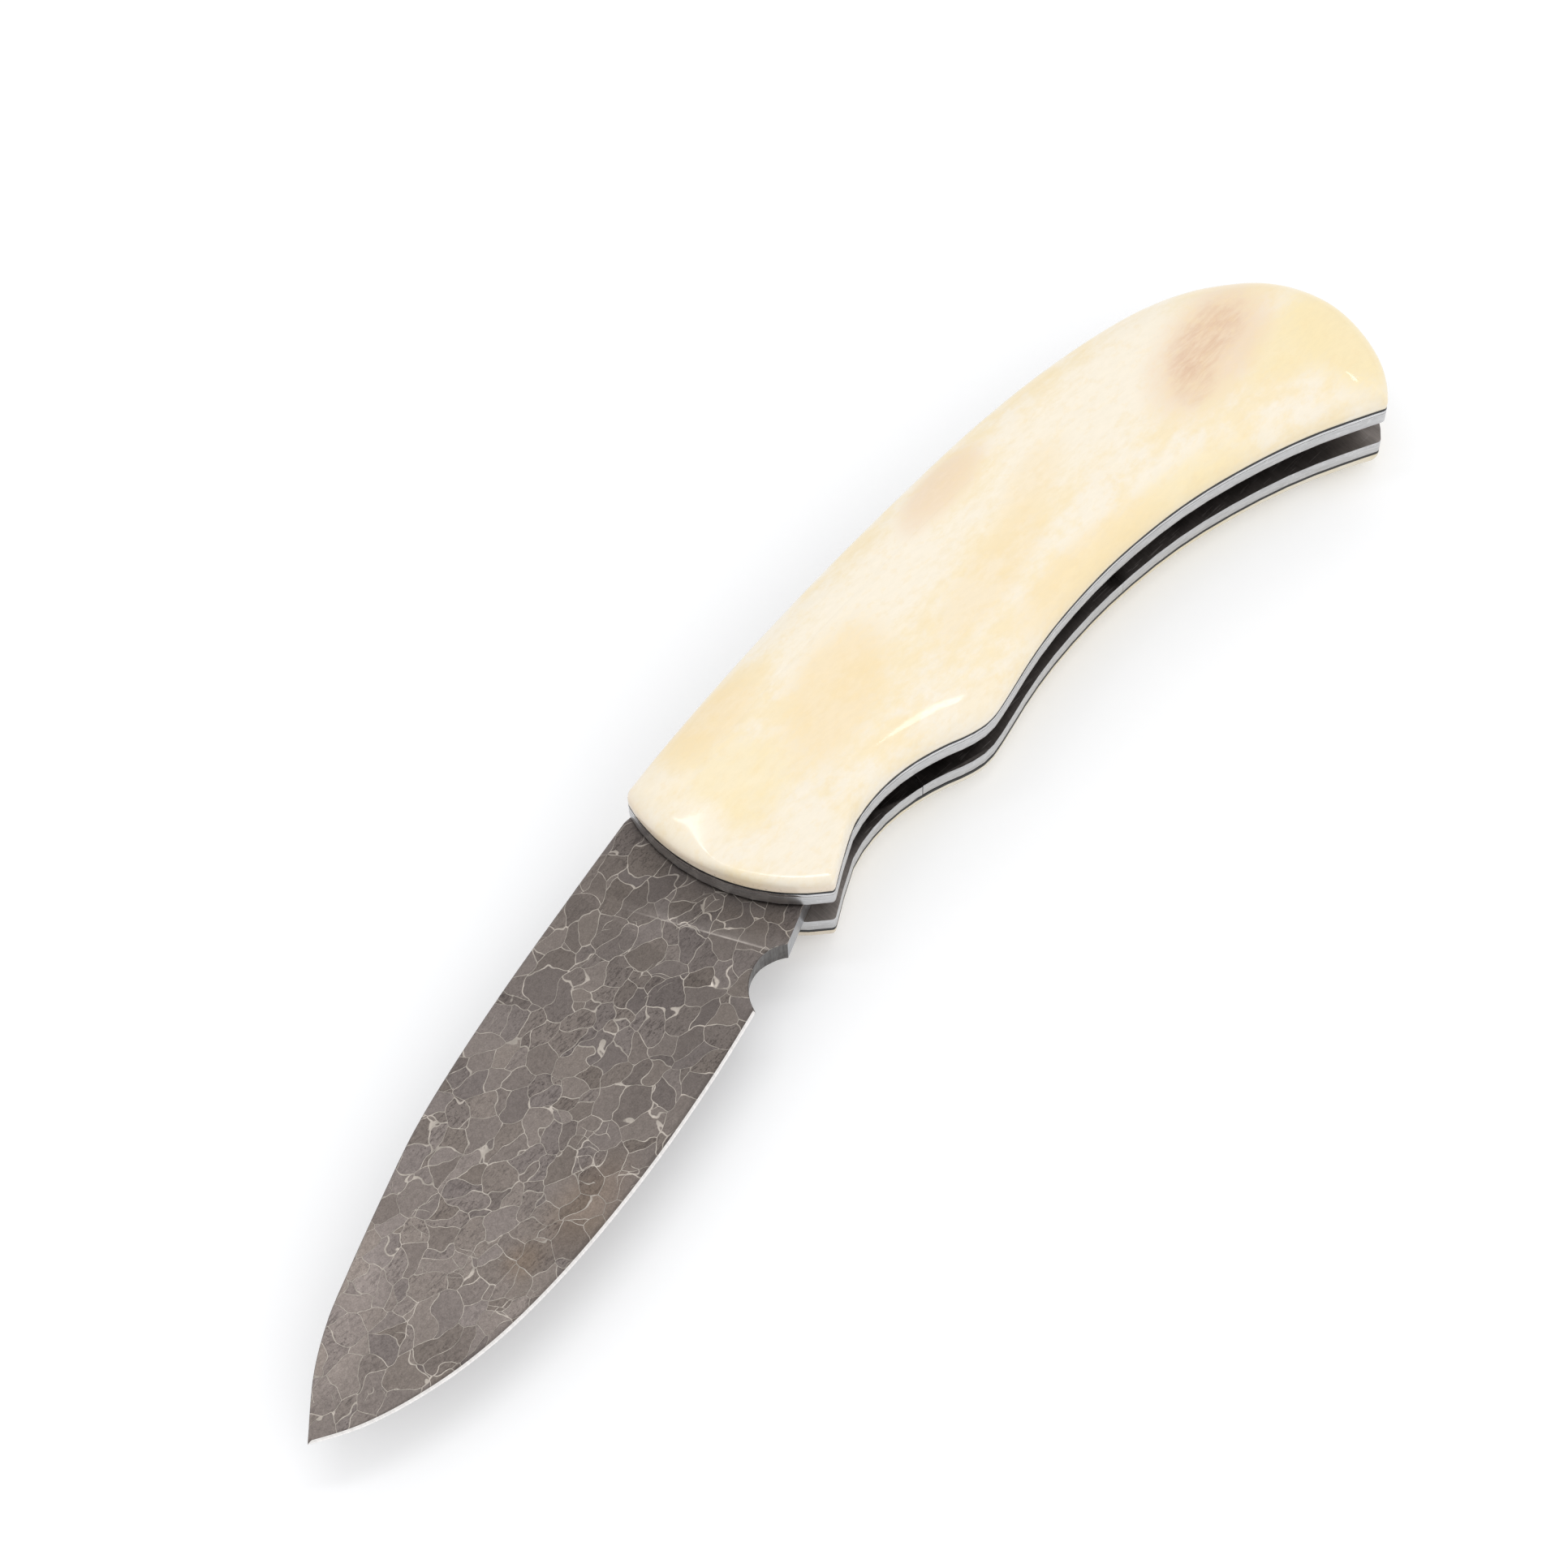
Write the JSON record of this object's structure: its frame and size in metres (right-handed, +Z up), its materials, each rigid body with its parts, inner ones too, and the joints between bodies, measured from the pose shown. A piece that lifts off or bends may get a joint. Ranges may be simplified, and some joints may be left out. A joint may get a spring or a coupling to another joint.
{
  "type": "folding pocket knife",
  "caption": "Folding pocket knife with a spear point blade on a pivot, a liner lock, a screwed frame with back spacer, and rounded handle scales.",
  "frame": {"origin": "on the pivot axis, at the flat face that the knife lies on", "axes": "+X towards the blade tip with the blade open, +Y towards the cutting edge and the handle's belly, +Z up to the show side"},
  "size_m": [0.1793, 0.0392, 0.0174],
  "materials": {
    "etched_blade_steel": "satin steel etched dark with a bright cell pattern",
    "ivory": "polished cream ivory or bone with warm mottling",
    "black_fibre": "matte black vulcanised fibre",
    "satin_steel": "satin steel with bright chamfers",
    "hard_steel": "ground steel",
    "bronze": "plain bronze sheet",
    "brass": "turned brass"
  },
  "bodies": {
    "handle": {"show_scale": "ivory", "back_scale": "ivory", "show_fibre_spacer": "black_fibre", "back_fibre_spacer": "black_fibre", "show_backing_plate": "satin_steel", "show_liner": "satin_steel", "lock_liner": "satin_steel", "back_spacer": "satin_steel", "pivot_barrel": "hard_steel", "show_pivot_screw": "hard_steel", "back_pivot_screw": "hard_steel", "stop_pin": "hard_steel", "show_washer": "bronze", "back_washer": "bronze", "show_body_screw_1": "hard_steel", "show_body_screw_2": "hard_steel", "show_body_screw_3": "hard_steel", "back_body_screw_1": "hard_steel", "back_body_screw_2": "hard_steel", "back_body_screw_3": "hard_steel", "show_scale_screw_1": "hard_steel", "show_scale_screw_2": "hard_steel", "back_scale_screw_1": "hard_steel", "back_scale_screw_2": "hard_steel", "show_scale_insert_1": "brass", "show_scale_insert_2": "brass", "back_scale_insert_1": "brass", "back_scale_insert_2": "brass"},
    "blade": {"blade": "etched_blade_steel"},
    "lock_bar": {"lock_bar": "satin_steel", "detent_ball": "hard_steel"}
  },
  "joints": [
    {"name": "blade_pivot", "type": "hinge", "parent": "handle", "child": "blade", "pos_m": [0, 0, 0.00855], "axis": [0, 0, 1], "range_deg": [0, 170]},
    {"name": "lock_bar_flex", "type": "hinge", "parent": "handle", "child": "lock_bar", "pos_m": [-0.052, 0, 0.0054], "axis": [0, 1, 0], "range_deg": [0, 0.383], "deforming": ["lock_bar", "detent_ball"]}
  ],
  "couplings": [
    {"joint": "lock_bar_flex", "follows": "blade_pivot", "ratio": 0.002231}
  ]
}
